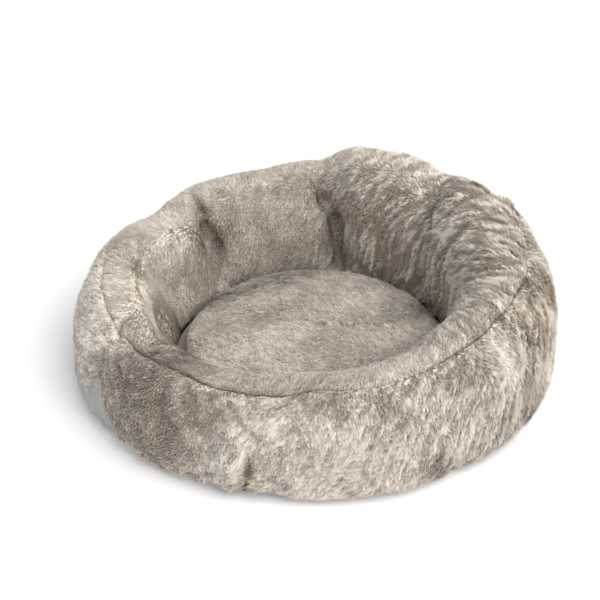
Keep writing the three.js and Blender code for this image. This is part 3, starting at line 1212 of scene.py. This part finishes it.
class BOLSTERBED_OT_ring(bpy.types.Operator):
    """Sews, stuffs and creases the ring's cover: the outer and inner plush and the side band"""

    bl_idname = "bolster_bed.ring"
    bl_label = "Ring"

    def execute(self, context):
        size = sizes()
        cover = ring_grid(size.ring_steps)
        mesh = cover.data
        turn = drawn_to_end_seam(turns_of(get_points(mesh)))
        around = around_of_row(recall(mesh, "row"), turn)
        sewn = ring_points(turn, around, inset_at(turn, around), size)
        set_points(mesh, sewn)
        self.stuff(cover, turn, around, size)
        self.crease(mesh, turn, around)
        pile = {
            "outer_plush": (HEM_ROW, CREST_ROW, "outer_plush_panel", "mottled_plush"),
            "inner_plush": (CREST_ROW, FOOT_ROW, "inner_plush_panel", "brushed_plush"),
            "side_band": (-1, HEM_ROW, "base_band", "grey_canvas"),
        }
        colour = colours()
        materials = {
            "outer_plush": backing_material(
                "knitted plush ground, dark", colour.root, colour.tip_light),
            "inner_plush": backing_material(
                "knitted plush ground, pale", colour.short_root, colour.short_light),
            "side_band": woven_material("plain-woven grey canvas", colour.canvas, 1.4 * MM, 0.85),
        }
        for name, (first, last, node_name, slot) in pile.items():
            panel = keep_rows(cover, name, first, last)
            subdivide(panel)
            wear(panel, materials[name])
            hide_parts(node_name)
            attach(panel, "bed")
        bpy.data.objects.remove(cover)
        return {"FINISHED"}

    @staticmethod
    def stuff(cover, turn, around, size):
        """Blows the cover up between its pinches, its crest seam and its flat foot."""
        cut = ring_points(turn, around, inset_at(turn, around) - CUT_PROUD, size)
        middle = size.ring_radius - size.ring_width / 2.0
        radius = np.hypot(cut[:, 0], cut[:, 1])
        wider = 1.0 + (radius - middle) / radius * (CUT_SLACK - 1.0)
        cut[:, 0] *= wider
        cut[:, 1] *= wider
        cut[:, 2] *= CUT_SLACK
        under = ((around > UNDER_FROM) | (around < UNDER_TO)).astype(float)
        pinch = np.zeros_like(turn)
        for _name, start, _height, inside, _outside in CHAMBERS:
            near = np.abs(turned_away(slanting(turn, around), start)) < HOLD_REACH
            well_side = (around > WELL_SIDE) & (around < INNER_FOOT)
            pinch = np.maximum(pinch, near * well_side * min(1.0, inside / FIRM_PINCH))
        seam = (np.abs(around - crest_at(turn)) < HOLD_REACH_ACROSS) * SEAM_HOLD
        held = np.clip(np.maximum.reduce([under, pinch, seam]), 0.0, 1.0)
        inward = ease(around, 70.0, 130.0)
        cap = SWELL + SWELL_BEHIND * about(turn, *BEHIND, 4) * inward
        inflate(cover, cut, held, RING_PRESSURE, RING_STEPS, cap[:, None])

    @staticmethod
    def crease(mesh, turn, around):
        depth, creased = crease_depth(turn, around)
        points = get_points(mesh)
        lumpy = LUMPS + LUMPIEST_RISE * about(turn, *LUMPIEST, 4) * ease(around, 75.0, 45.0)
        lumps = lumpy * swirling(points, LUMP_SPACING, 6)
        depth += lumps
        creased = np.maximum(creased, np.clip(lumps / LUMP_HOLLOW, 0.0, LUMP_CREASED))
        points -= get_normals(mesh) * depth[:, None]
        points[:, 2] = np.maximum(points[:, 2], FLOOR_CLEARANCE)
        set_points(mesh, points)
        store(mesh, "creased", creased)
        store(mesh, "around", around)


# Tufts of the long and the brushed pile: their locks' length and width, how far they lean over
# and how far apart they are rooted.
LONG_TUFT = (7 * MM, 1.35 * MM, math.radians(60), 1.8 * MM)
SHORT_TUFT = (6.5 * MM, 1.4 * MM, math.radians(64), 1.7 * MM)
# The same tufts' swirl, grain, flecks and streaks.
LONG_WAYS = (0.4, 0.36, 1.7, 0.8)
SHORT_WAYS = (0.25, 0.2, 1.0, 4.8)
# How far the comb of each pile wanders.
LONG_WANDER = 30.0
SHORT_WANDER = 22.0
# How strongly the tone wanders, broadly and finely, and how far apart.
BROAD_MOTTLE = (0.35, 90 * MM)
FINE_MOTTLE = (0.3, 30 * MM)
# How much painted shade darkens the pile in a crease, how much shorter it is there, and how long
# it is elsewhere.
CREASE_PAINTED_SHADE = 0.3
CREASED_SHORTER = 0.45
EVEN_LENGTH = 0.9
SHAGGY_LONGER = 0.25
# How much shorter it is at the raised hem, up to how far above it, and where it is rubbed.
HEM_SHORTER = 0.35
HEM_REACH = 16.0
HEM_FADE = 12.0
RUBBED_SHORTER = 0.22
# Each skin's middling tone, how much it varies, and the stretch where its pile is shaggiest.
OUTER_MOTTLE = (0.58, 0.3, (335.0, 55.0))
INNER_MOTTLE = (0.36, 0.25, (18.0, 60.0))


class BOLSTERBED_OT_pile(bpy.types.Operator):
    """Grows the pile: long mottled tufts outside the ring, short brushed ones inside"""

    bl_idname = "bolster_bed.pile"
    bl_label = "Pile"

    def execute(self, context):
        size = sizes()
        colour = colours()
        long_tufts = tuft_collection("long_tuft", *LONG_TUFT)
        short_tufts = tuft_collection("short_tuft", *SHORT_TUFT)
        long_material = pile_material(
            "mottled polyester pile", colour.root, colour.tip_dark, colour.tip_light, 0.7, 0.25)
        short_material = pile_material(
            "brushed polyester pile", colour.short_root, colour.short_dark, colour.short_light,
            0.75, 0.3)
        gap = size.tuft_gap * 1.0
        short_gap = size.short_gap * 1.0
        long_pile = pile_group("long pile", long_tufts, gap, *LONG_WAYS, long_material)
        short_pile = pile_group("short pile", short_tufts, short_gap, *SHORT_WAYS, short_material)
        outer = bpy.data.objects["outer_plush"]
        inner = bpy.data.objects["inner_plush"]
        comb_ring(outer, -1.0, LONG_WANDER)
        comb_ring(inner, 1.0, SHORT_WANDER)
        self.mottle(outer, *OUTER_MOTTLE)
        self.mottle(inner, *INNER_MOTTLE)
        self.paint_patches_light_and_shade(outer)
        self.paint_patches_light_and_shade(inner)
        for name, backing, group, sectors, slot in (
            ("outer_pile", outer, long_pile, 4, "mottled_plush"),
            ("inner_pile", inner, short_pile, 3, "brushed_plush"),
        ):
            step = 360.0 / sectors
            for index in range(sectors):
                sector = (index * step, (index + 1) * step)
                grown = plant(backing, f"{name}_{index + 1}", group, sector)
                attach(grown, "bed")
        for panel in (outer, inner):
            thicken(panel, size.cloth)
        return {"FINISHED"}

    @staticmethod
    def mottle(obj, middle, spread, shaggiest):
        """Stores how light the tips are, how long the pile is, how unruly and how thick. It is
        longest and most unruly about one turn, over so many degrees each side."""
        mesh = obj.data
        points = get_points(mesh)
        creased = recall(mesh, "creased")
        (broad, broad_step), (fine, fine_step) = BROAD_MOTTLE, FINE_MOTTLE
        wander = broad * swirling(points, broad_step, 3) + fine * swirling(points, fine_step, 4)
        tone = middle + spread * wander
        # Painted shade: the tone is lowered in creases, ripples, lump hollows and along the crest seam.
        store(mesh, "tone", tone - CREASE_PAINTED_SHADE * creased)
        shaggy = about(turns_of(points), *shaggiest, 4)
        store(mesh, "shaggy", shaggy)
        length = EVEN_LENGTH + SHAGGY_LONGER * shaggy
        store(mesh, "pile", length * (1.0 - CREASED_SHORTER * creased))
        store(mesh, "cover", np.ones(len(points)))

    @staticmethod
    def paint_patches_light_and_shade(obj):
        """Darkens and lightens the ring's plush: its own mottling, and painted shade and painted light
        where the patches say; and shortens the pile at the raised hem and where it is rubbed."""
        mesh = obj.data
        turn = recall(mesh, "turn").astype(float)
        around = recall(mesh, "around").astype(float)
        tone = recall(mesh, "tone").astype(float)
        # Each patch adds to the tone: painted shade where it darkens, painted light where it lightens, with
        # the plush's own mottling front left.
        for place, radius, change in PAINTED_LIGHT_AND_TONE_PATCHES:
            tone += change * np.exp(-(distance_to_crease(turn, around, place, place) / radius) ** 2)
        store(mesh, "tone", np.clip(tone, 0.0, 1.0))
        middle, width, _rise = HEM_RISES[0]
        above_hem = smoothstep((hem_at(turn) + HEM_REACH - around) / HEM_FADE)
        near_hem = above_hem * about(turn, middle, width, 4)
        rubbed = about(turn, *RUBBED, 4)
        kept = (1.0 - HEM_SHORTER * near_hem) * (1.0 - RUBBED_SHORTER * rubbed)
        store(mesh, "pile", recall(mesh, "pile") * kept)


def disc_object(name, radius, thickness, height, segments=160, bevel=0.4 * MM):
    """A round flat sheet with softened edges, its underside at a height."""
    bm = bmesh.new()
    bmesh.ops.create_circle(bm, cap_ends=True, segments=segments, radius=radius)
    bmesh.ops.translate(bm, vec=(0, 0, height), verts=bm.verts)
    raised = bmesh.ops.extrude_face_region(bm, geom=bm.faces[:])["geom"]
    top = [item for item in raised if isinstance(item, bmesh.types.BMVert)]
    bmesh.ops.translate(bm, vec=(0, 0, thickness), verts=top)
    bmesh.ops.recalc_face_normals(bm, faces=bm.faces)
    sharp = [edge for edge in bm.edges if edge.calc_face_angle(0.0) > 1.0]
    bmesh.ops.bevel(
        bm, geom=sharp, offset=bevel, segments=2, profile=0.5, affect="EDGES", material=-1
    )
    return object_from_bmesh(name, bm, smooth=False)


# The base cloth, over the grip dots that it stands on.
SHEET_THICKNESS = 1.2 * MM
SHEET_HEIGHT = 0.7 * MM
# From which share of its radius the base cloth's edge is turned up the side of the ring, over
# what share more, and how far it then reaches out and up.
EDGE_FROM = 0.985
EDGE_FADE = 0.01
EDGE_REACH = 17 * MM
EDGE_RISE = 7 * MM
DOT_STEP = 14 * MM
DOT_RADIUS = 1.7 * MM
DOT_DEPTH = 0.6 * MM
DOT_TOP = 0.75 * MM
DOT_MARGIN = 12 * MM


class BOLSTERBED_OT_base(bpy.types.Operator):
    """Cuts the base: non-slip underside with its grip dots, foam pad and lining of the well"""

    bl_idname = "bolster_bed.base"
    bl_label = "Base"

    def execute(self, context):
        colour = colours()
        sheet_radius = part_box("base_sheet")[1][0]
        pad_low, pad_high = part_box("base_pad")
        lining_low, lining_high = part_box("well_lining")
        grip_cloth = woven_material("charcoal non-slip cloth", colour.grip, 1.2 * MM, 0.9)
        sheet = disc_object("base_cloth", sheet_radius, SHEET_THICKNESS, SHEET_HEIGHT)
        self.turn_up(sheet, sheet_radius)
        self.add_grip_dots(sheet, sheet_radius - DOT_MARGIN)
        pad = disc_object(
            "foam_pad", pad_high[0], pad_high[2] - pad_low[2], pad_low[2], bevel=2 * MM)
        lining = disc_object(
            "floor_lining", lining_high[0], lining_high[2] - lining_low[2], lining_low[2])
        wear(sheet, grip_cloth)
        wear(pad, fibre_material("soft open-cell foam", colour.foam, 1.7 * MM))
        wear(lining, woven_material("plain lining cloth", colour.lining, 1.2 * MM, 0.9))
        pieces = (
            (sheet, "base_sheet", "grip_cloth"),
            (pad, "base_pad", "foam"),
            (lining, "well_lining", "lining_cloth"),
        )
        for piece, node_name, slot in pieces:
            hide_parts(node_name)
            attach(piece, "bed")
        return {"FINISHED"}

    @staticmethod
    def turn_up(sheet, radius):
        """Turns the base cloth's edge up the side of the ring where the hem is raised beside the
        end seam."""
        middle, width, _rise = HEM_RISES[1]
        points = get_points(sheet.data)
        out = np.hypot(points[:, 0], points[:, 1]) / radius
        at_edge = smoothstep((out - EDGE_FROM) / EDGE_FADE)
        share = at_edge * about(turns_of(points), middle, width, 4)
        points[:, :2] *= 1.0 + (share * EDGE_REACH / radius)[:, None]
        points[:, 2] += share * EDGE_RISE
        set_points(sheet.data, points)

    @staticmethod
    def add_grip_dots(sheet, reach):
        """Prints low rubber dots on the underside, in rows set half a step apart."""
        bm = bmesh.new()
        bm.from_mesh(sheet.data)
        rows = int(reach / DOT_STEP)
        for row in range(-rows, rows + 1):
            for column in range(-rows, rows + 1):
                x = (column + 0.5 * (row % 2)) * DOT_STEP
                y = row * DOT_STEP * math.sqrt(0.75)
                if math.hypot(x, y) < reach:
                    bmesh.ops.create_cone(
                        bm, cap_ends=True, segments=8, radius1=DOT_RADIUS * 0.6, radius2=DOT_RADIUS,
                        depth=DOT_DEPTH, matrix=Matrix.Translation((x, y, DOT_TOP - DOT_DEPTH / 2)),
                    )
        bm.to_mesh(sheet.data)
        bm.free()


# How far an even lot of wadding lies inside the ring's outline, and the room it has in its cover.
WAD_INSET = 11 * MM
WAD_GAP = 9 * MM
WAD_LUMPS = 1.0 * MM
WAD_LUMP_SPACING = 50 * MM
# It keeps clear of creases this many degrees away, along the ring and around its section.
WAD_CLEAR_TURNS = (-3, 0, 3)
WAD_CLEAR_AROUND = (-8, 0, 8)


class BOLSTERBED_OT_wadding(bpy.types.Operator):
    """Packs each chamber of the ring with its lot of fibre wadding"""

    bl_idname = "bolster_bed.wadding"
    bl_label = "Wadding"

    def execute(self, context):
        material = fibre_material("white fibre wadding", colours().fibre, 6 * MM)
        for chamber in CHAMBERS:
            node_name = "bolster_fill_" + chamber[0]
            bm = bmesh.new()
            bm.from_mesh(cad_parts[node_name].data)
            bmesh.ops.remove_doubles(bm, verts=bm.verts, dist=0.01 * MM)
            bmesh.ops.subdivide_edges(bm, edges=bm.edges[:], cuts=1, use_grid_fill=True)
            for _turn in range(3):
                bmesh.ops.smooth_vert(
                    bm, verts=bm.verts, factor=0.5, use_axis_x=True, use_axis_y=True, use_axis_z=True)
            wad = object_from_bmesh("wadding_" + chamber[0], bm)
            set_points(wad.data, self.packed(get_points(wad.data), sizes()))
            wear(wad, material)
            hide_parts(node_name)
            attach(wad, "bed")
        return {"FINISHED"}

    @staticmethod
    def packed(points, size):
        """Points of an even lot of wadding, moved to where they lie inside the creased cover."""
        turn = turns_of(points)
        middle = size.ring_radius - size.ring_width / 2.0
        centre_height = (ring_height(turn) + size.ring_foot) / 2.0
        across = (np.hypot(points[:, 0], points[:, 1]) - middle) / (size.ring_width / 2.0 - WAD_INSET)
        up = (points[:, 2] - centre_height) / (centre_height - size.ring_foot - WAD_INSET)
        bend = SECTION_POWER / 2.0
        around = np.degrees(np.arctan2(
            np.sign(up) * np.abs(up) ** bend, np.sign(across) * np.abs(across) ** bend))
        around = (around - BAND_FOOT) % 360.0 + BAND_FOOT
        share = (np.abs(across) ** SECTION_POWER + np.abs(up) ** SECTION_POWER) ** (1.0 / SECTION_POWER)
        # Between its own points the wadding bridges a narrow crease, so it keeps clear of those near.
        depth = np.maximum.reduce([
            crease_depth(turn + aside, around + along)[0]
            for aside in WAD_CLEAR_TURNS for along in WAD_CLEAR_AROUND
        ])
        lumps = WAD_LUMPS * swirling(points, WAD_LUMP_SPACING, 8)
        inset = inset_at(turn, around) + np.maximum(depth, 0.0) + WAD_GAP + lumps
        skin = ring_points(turn, around, inset, size)
        centre = np.stack(
            [middle * np.cos(np.radians(turn)), middle * np.sin(np.radians(turn)), centre_height], axis=1)
        return centre + np.minimum(share, 1.0)[:, None] * (skin - centre)


# The cushion's cover: how finely it is divided, how full its rim and its crown are (less is
# fuller), its room inside its frame, and how it is blown up.
CUSHION_CUTS = 47
RIM_FULLNESS = 0.8
CROWN_FULLNESS = 0.75
RIM_ROOM = 2 * MM
CROWN_ROOM = 3 * MM
CUSHION_SLACK = 1.05
CUSHION_SEAM_HOLD = 0.35
CUSHION_PRESSURE = 1.6
CUSHION_STEPS = 14
CUSHION_SWELL = 7 * MM
CUSHION_FILL_SHARE = 0.9
# Which way its pile is swept, how far that wanders, and its mottle.
CUSHION_SWEEP = np.array([[-1.0, -0.35, 0.0]])
CUSHION_WANDER = 35.0
CUSHION_MOTTLE = (0.5, 0.25, (0.0, 1.0))


class BOLSTERBED_OT_cushion(bpy.types.Operator):
    """Sews and fills the loose cushion of the well"""

    bl_idname = "bolster_bed.cushion"
    bl_label = "Cushion"

    def execute(self, context):
        size = sizes()
        colour = colours()
        low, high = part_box("cushion_top_panel")
        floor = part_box("cushion_underside")[0][2]
        rim = low[2]
        cover = self.round_cover(high[0], rim, high[2] - size.short_depth, floor)
        self.fill(cover, rim)
        points = get_points(cover.data)
        points[:, 2] = np.maximum(points[:, 2], floor + 0.5 * MM)
        set_points(cover.data, points)
        store(cover.data, "creased", np.zeros(len(points)))
        top = self.half(cover, "cushion_top", True)
        underside = self.half(cover, "cushion_base_cloth", False)
        bpy.data.objects.remove(cover)
        subdivide(top)
        subdivide(underside)
        comb_along(top.data, CUSHION_SWEEP, CUSHION_WANDER, COMB_ASIDE)
        store(top.data, "lay", get_points(top.data))
        BOLSTERBED_OT_pile.mottle(top, *CUSHION_MOTTLE)
        short_pile = bpy.data.node_groups["short pile"]
        pile = plant(top, "cushion_pile", short_pile)
        wear(top, bpy.data.materials["knitted plush ground, pale"])
        wear(underside, bpy.data.materials["plain-woven grey canvas"])
        thicken(top, size.cloth)
        thicken(underside, size.cloth)
        fill = self.fibre()
        for piece, node_name, slot in (
            (top, "cushion_top_panel", "brushed_plush"),
            (underside, "cushion_underside", "grey_canvas"),
            (fill, "cushion_fill", "fibre_wadding"),
        ):
            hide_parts(node_name)
            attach(piece, "loose_cushion")
        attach(pile, "loose_cushion")
        return {"FINISHED"}

    @staticmethod
    def round_cover(radius, rim, top, bottom):
        """A closed cover: a cube cut fine, rounded into a disc with a full rim."""
        bm = bmesh.new()
        bmesh.ops.create_cube(bm, size=2.0)
        bmesh.ops.subdivide_edges(bm, edges=bm.edges[:], cuts=CUSHION_CUTS, use_grid_fill=True)
        cover = object_from_bmesh("cushion_cover", bm)
        points = get_points(cover.data)
        length = np.linalg.norm(points, axis=1, keepdims=True)
        unit = points / length
        flat = np.hypot(unit[:, 0], unit[:, 1])
        spread = np.sin(np.arctan2(flat, np.abs(unit[:, 2]))) ** RIM_FULLNESS
        rise = np.cos(np.arctan2(flat, np.abs(unit[:, 2]))) ** CROWN_FULLNESS
        scale = np.where(flat > 1e-9, spread * (radius - RIM_ROOM) / np.maximum(flat, 1e-9), 0.0)
        height = np.where(unit[:, 2] > 0, top - rim - CROWN_ROOM, rim - bottom)
        place = np.stack(
            [unit[:, 0] * scale, unit[:, 1] * scale, rim + np.sign(unit[:, 2]) * rise * height],
            axis=1,
        )
        set_points(cover.data, place)
        return cover

    @staticmethod
    def fill(cover, rim):
        """Blows the cushion up; its rim seam gathers a little."""
        points = get_points(cover.data)
        cut = points.copy()
        cut[:, :2] *= CUSHION_SLACK
        seam = np.abs(points[:, 2] - rim) < 0.5 * MM
        under = points[:, 2] < rim - 10 * MM
        held = np.maximum(seam * CUSHION_SEAM_HOLD, under * 1.0)
        inflate(cover, cut, held, CUSHION_PRESSURE, CUSHION_STEPS, CUSHION_SWELL)

    @staticmethod
    def half(cover, name, upper):
        bm = bmesh.new()
        bm.from_mesh(cover.data)
        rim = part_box("cushion_top_panel")[0][2]
        spare = [f for f in bm.faces if (f.calc_center_median().z > rim) != upper]
        bmesh.ops.delete(bm, geom=spare, context="FACES")
        return object_from_bmesh(name, bm)

    @staticmethod
    def fibre():
        bm = bmesh.new()
        bm.from_mesh(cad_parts["cushion_fill"].data)
        bmesh.ops.remove_doubles(bm, verts=bm.verts, dist=0.01 * MM)
        fill = object_from_bmesh("cushion_wadding", bm)
        points = get_points(fill.data)
        middle = points.mean(axis=0)
        set_points(fill.data, middle + (points - middle) * CUSHION_FILL_SHARE)
        wear(fill, bpy.data.materials["white fibre wadding"])
        return fill


OPERATORS = (
    BOLSTERBED_OT_stage,
    BOLSTERBED_OT_ring,
    BOLSTERBED_OT_pile,
    BOLSTERBED_OT_base,
    BOLSTERBED_OT_wadding,
    BOLSTERBED_OT_cushion,
)


class BOLSTERBED_PT_panel(bpy.types.Panel):
    """Lists the bed's pieces"""

    bl_idname = "BOLSTERBED_PT_panel"
    bl_label = "Bolster bed"
    bl_space_type = "VIEW_3D"
    bl_region_type = "UI"
    bl_category = "Bolster bed"

    def draw(self, context):
        for operator in OPERATORS:
            self.layout.operator(operator.bl_idname)
        for settings in (context.scene.bolster_bed_sizes, context.scene.bolster_bed_colours):
            for name in settings.bl_rna.properties.keys():
                if name not in ("rna_type", "name"):
                    self.layout.prop(settings, name)


CLASSES = (BolsterBedSizes, BolsterBedColours, *OPERATORS, BOLSTERBED_PT_panel)


def register():
    for cls in CLASSES:
        bpy.utils.register_class(cls)
    bpy.types.Scene.bolster_bed_sizes = PointerProperty(type=BolsterBedSizes)
    bpy.types.Scene.bolster_bed_colours = PointerProperty(type=BolsterBedColours)


def unregister():
    del bpy.types.Scene.bolster_bed_colours
    del bpy.types.Scene.bolster_bed_sizes
    for cls in reversed(CLASSES):
        bpy.utils.unregister_class(cls)


def main():
    register()
    bpy.ops.bolster_bed.stage()
    bpy.ops.bolster_bed.ring()
    bpy.ops.bolster_bed.pile()
    bpy.ops.bolster_bed.base()
    bpy.ops.bolster_bed.wadding()
    bpy.ops.bolster_bed.cushion()


if __name__ == "__main__":
    main()
